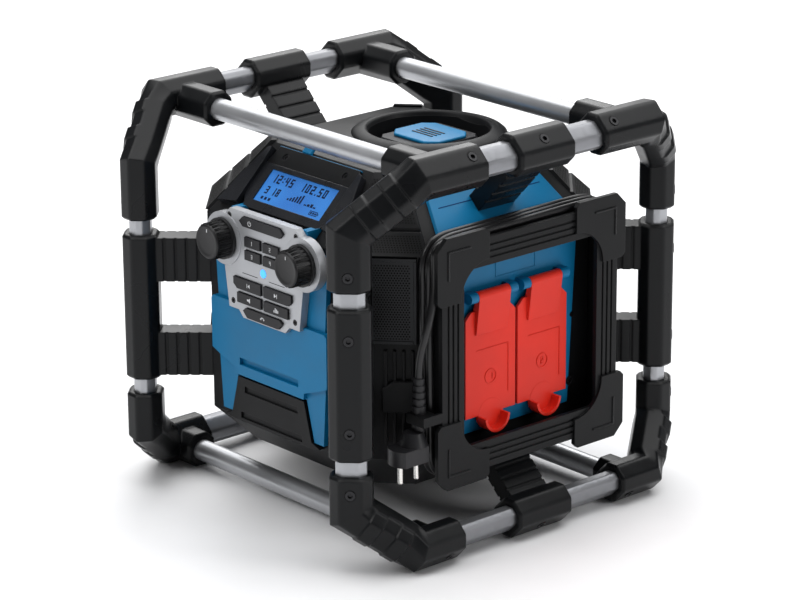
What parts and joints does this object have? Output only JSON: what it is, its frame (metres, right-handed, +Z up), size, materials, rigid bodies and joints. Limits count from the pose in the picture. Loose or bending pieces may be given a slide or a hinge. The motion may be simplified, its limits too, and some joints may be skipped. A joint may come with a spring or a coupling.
{
  "type": "jobsite radio",
  "caption": "Octagonal jobsite radio in a tube roll cage, with display, knobs, buttons, covered outlets, wound mains lead and battery bay.",
  "frame": {"origin": "on the floor, in the middle of the cage's footprint", "axes": "+Z up, the front with the display and knobs faces -Y, the side with the outlets and mains lead faces +X"},
  "size_m": [0.4016, 0.4156, 0.3808],
  "materials": {
    "bare_tube": "brushed",
    "cage_black": "fine grain, slightly rubbery",
    "body_black": "fine grain",
    "panel_blue": "satin",
    "silver_plate": "satin silver",
    "button_dark": "soft",
    "knob_rubber": "soft",
    "steel": "plain",
    "light_lens": "translucent",
    "display_frame": "smooth",
    "display_face": "lit liquid crystal",
    "clear_window": "clear",
    "cover_red": "satin",
    "socket_black": "smooth",
    "plug_rubber": "soft",
    "nickel": "nickel plated",
    "cord_rubber": "matte",
    "door_black": "fine grain",
    "battery_black": "fine grain",
    "speaker_black": "satin",
    "grille_black": "satin",
    "board_green": "solder mask",
    "supply_metal": "plain",
    "screw_steel": "zinc plated"
  },
  "bodies": {
    "root": {"post_tubes": "bare_tube", "side_tubes": "bare_tube", "cross_tubes": "bare_tube", "elbow_bottom_front_left": "cage_black", "elbow_bottom_front_right": "cage_black", "elbow_bottom_rear_left": "cage_black", "elbow_bottom_rear_right": "cage_black", "elbow_top_front_left": "cage_black", "elbow_top_front_right": "cage_black", "elbow_top_rear_left": "cage_black", "elbow_top_rear_right": "cage_black", "post_sleeve_front_left": "cage_black", "post_sleeve_front_right": "cage_black", "post_sleeve_rear_left": "cage_black", "post_sleeve_rear_right": "cage_black", "bracket_bottom_left": "cage_black", "bracket_bottom_right": "cage_black", "bracket_top_left": "cage_black", "bracket_top_right": "cage_black", "main_housing": "body_black", "top_cover": "body_black", "bass_panel": "body_black", "cord_frame": "body_black", "front_bezel": "panel_blue", "side_panel": "panel_blue", "rear_panel": "panel_blue", "left_panel": "panel_blue", "control_plate": "silver_plate", "knob_encoders": "steel", "status_light": "light_lens", "display_bezel": "display_frame", "display_module": "display_face", "display_lens": "clear_window", "hinge_pins": "steel", "outlet_sockets": "socket_black", "mains_plug": "plug_rubber", "plug_pins": "nickel", "mains_cord": "cord_rubber", "corner_speakers": "speaker_black", "subwoofer": "speaker_black", "speaker_grilles": "grille_black", "circuit_board": "board_green", "power_supply": "supply_metal", "torx_screws": "screw_steel"},
    "knob_left": {"knob_left": "knob_rubber"},
    "knob_right": {"knob_right": "knob_rubber"},
    "power_button": {"power_button": "button_dark"},
    "preset_button_1": {"preset_button_1": "button_dark"},
    "preset_button_2": {"preset_button_2": "button_dark"},
    "preset_button_3": {"preset_button_3": "button_dark"},
    "preset_button_4": {"preset_button_4": "button_dark"},
    "previous_button": {"previous_button": "button_dark"},
    "next_button": {"next_button": "button_dark"},
    "mute_button": {"mute_button": "button_dark"},
    "equalizer_button": {"equalizer_button": "button_dark"},
    "phone_button": {"phone_button": "button_dark"},
    "outlet_cover_front": {"outlet_cover_front": "cover_red"},
    "outlet_cover_rear": {"outlet_cover_rear": "cover_red"},
    "media_door": {"media_door": "door_black"},
    "battery_pack": {"battery_pack": "battery_black"}
  },
  "joints": [
    {"name": "knob_left_turn", "type": "hinge", "parent": "root", "child": "knob_left", "pos_m": [-0.056, -0.17, 0.26], "axis": [0, -1, 0], "continuous": true},
    {"name": "knob_right_turn", "type": "hinge", "parent": "root", "child": "knob_right", "pos_m": [0.056, -0.17, 0.26], "axis": [0, -1, 0], "continuous": true},
    {"name": "power_button_press", "type": "slide", "parent": "root", "child": "power_button", "axis": [0, 1, 0], "range_m": [0, 0.0012], "stiffness_N_per_m": 400, "springref_m": -0.001},
    {"name": "preset_button_1_press", "type": "slide", "parent": "root", "child": "preset_button_1", "axis": [0, 1, 0], "range_m": [0, 0.0012], "stiffness_N_per_m": 400, "springref_m": -0.001},
    {"name": "preset_button_2_press", "type": "slide", "parent": "root", "child": "preset_button_2", "axis": [0, 1, 0], "range_m": [0, 0.0012], "stiffness_N_per_m": 400, "springref_m": -0.001},
    {"name": "preset_button_3_press", "type": "slide", "parent": "root", "child": "preset_button_3", "axis": [0, 1, 0], "range_m": [0, 0.0012], "stiffness_N_per_m": 400, "springref_m": -0.001},
    {"name": "preset_button_4_press", "type": "slide", "parent": "root", "child": "preset_button_4", "axis": [0, 1, 0], "range_m": [0, 0.0012], "stiffness_N_per_m": 400, "springref_m": -0.001},
    {"name": "previous_button_press", "type": "slide", "parent": "root", "child": "previous_button", "axis": [0, 1, 0], "range_m": [0, 0.0012], "stiffness_N_per_m": 400, "springref_m": -0.001},
    {"name": "next_button_press", "type": "slide", "parent": "root", "child": "next_button", "axis": [0, 1, 0], "range_m": [0, 0.0012], "stiffness_N_per_m": 400, "springref_m": -0.001},
    {"name": "mute_button_press", "type": "slide", "parent": "root", "child": "mute_button", "axis": [0, 1, 0], "range_m": [0, 0.0012], "stiffness_N_per_m": 400, "springref_m": -0.001},
    {"name": "equalizer_button_press", "type": "slide", "parent": "root", "child": "equalizer_button", "axis": [0, 1, 0], "range_m": [0, 0.0012], "stiffness_N_per_m": 400, "springref_m": -0.001},
    {"name": "phone_button_press", "type": "slide", "parent": "root", "child": "phone_button", "axis": [0, 1, 0], "range_m": [0, 0.0012], "stiffness_N_per_m": 400, "springref_m": -0.001},
    {"name": "outlet_cover_front_swing", "type": "hinge", "parent": "root", "child": "outlet_cover_front", "pos_m": [0.1605, -0.032, 0.23], "axis": [0, -1, 0], "range_deg": [0, 110], "stiffness_Nm_per_rad": 0.03, "springref_deg": -28.65},
    {"name": "outlet_cover_rear_swing", "type": "hinge", "parent": "root", "child": "outlet_cover_rear", "pos_m": [0.1605, 0.032, 0.23], "axis": [0, -1, 0], "range_deg": [0, 110], "stiffness_Nm_per_rad": 0.03, "springref_deg": -28.65},
    {"name": "media_door_swing", "type": "hinge", "parent": "root", "child": "media_door", "pos_m": [-0.1501, 0, 0.136], "axis": [0, -1, 0], "range_deg": [0, 90]},
    {"name": "battery_pack_lift", "type": "slide", "parent": "root", "child": "battery_pack", "axis": [0, 0, 1], "range_m": [0, 0.06]}
  ]
}
